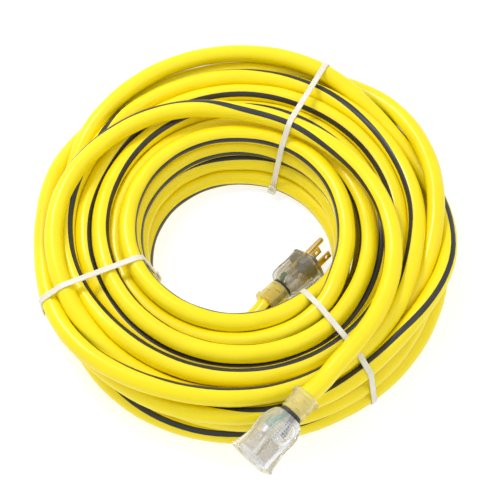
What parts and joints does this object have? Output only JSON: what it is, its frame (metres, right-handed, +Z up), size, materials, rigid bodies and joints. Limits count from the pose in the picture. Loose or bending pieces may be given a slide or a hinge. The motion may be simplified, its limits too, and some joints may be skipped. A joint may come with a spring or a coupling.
{
  "type": "extension cord",
  "caption": "Coiled heavy-duty extension cord with a clear grounded plug and a clear lighted connector, tied for storage.",
  "frame": {"origin": "middle of the footprint of the tied coil, on the surface that it lies on", "axes": "+Z up, through the coil's hole; +Y away from the side where the connector lies; +X to the right of it"},
  "size_m": [0.3552, 0.3972, 0.0805],
  "materials": {
    "yellow_jacket": "bright yellow vinyl jacket with one lengthwise black stripe, semi-gloss",
    "natural_nylon": "milky natural nylon",
    "clear_frosted_vinyl": "clear moulded vinyl, slightly frosted",
    "clear_smoky_vinyl": "clear moulded vinyl, smoky grey-brown",
    "white_carrier": "white moulded insulator",
    "grey_bridge": "grey moulded insulator",
    "brass": "rolled brass, polished",
    "tinned_barrel": "tin-plated crimp barrel, satin",
    "bare_copper": "bare stranded copper",
    "black_insulation": "black vinyl insulation",
    "white_insulation": "white vinyl insulation",
    "green_insulation": "green vinyl insulation",
    "lamp_glass": "small neon lamp's glass",
    "resistor_body": "tan coated resistor"
  },
  "bodies": {
    "root": {"cord_coil": "yellow_jacket", "connector_tail": "yellow_jacket", "plug_tail": "yellow_jacket", "cable_tie_1": "natural_nylon", "cable_tie_2": "natural_nylon", "cable_tie_3": "natural_nylon", "connector_body": "clear_frosted_vinyl", "connector_strain_relief": "clear_frosted_vinyl", "plug_body": "clear_smoky_vinyl", "plug_strain_relief": "clear_smoky_vinyl", "connector_face": "white_carrier", "connector_contact_carrier": "white_carrier", "plug_bridge": "grey_bridge", "plug_line_blade": "brass", "plug_neutral_blade": "brass", "plug_ground_pin": "brass", "connector_line_contact": "brass", "connector_neutral_contact": "brass", "connector_ground_contact": "brass", "plug_line_crimp": "tinned_barrel", "plug_neutral_crimp": "tinned_barrel", "plug_ground_crimp": "tinned_barrel", "connector_line_crimp": "tinned_barrel", "connector_neutral_crimp": "tinned_barrel", "connector_ground_crimp": "tinned_barrel", "plug_line_copper": "bare_copper", "plug_neutral_copper": "bare_copper", "plug_ground_copper": "bare_copper", "connector_line_copper": "bare_copper", "connector_neutral_copper": "bare_copper", "connector_ground_copper": "bare_copper", "plug_line_conductor": "black_insulation", "connector_line_conductor": "black_insulation", "plug_neutral_conductor": "white_insulation", "connector_neutral_conductor": "white_insulation", "plug_ground_conductor": "green_insulation", "connector_ground_conductor": "green_insulation", "connector_indicator_lamp": "lamp_glass", "connector_lamp_resistor": "resistor_body"}
  },
  "joints": []
}
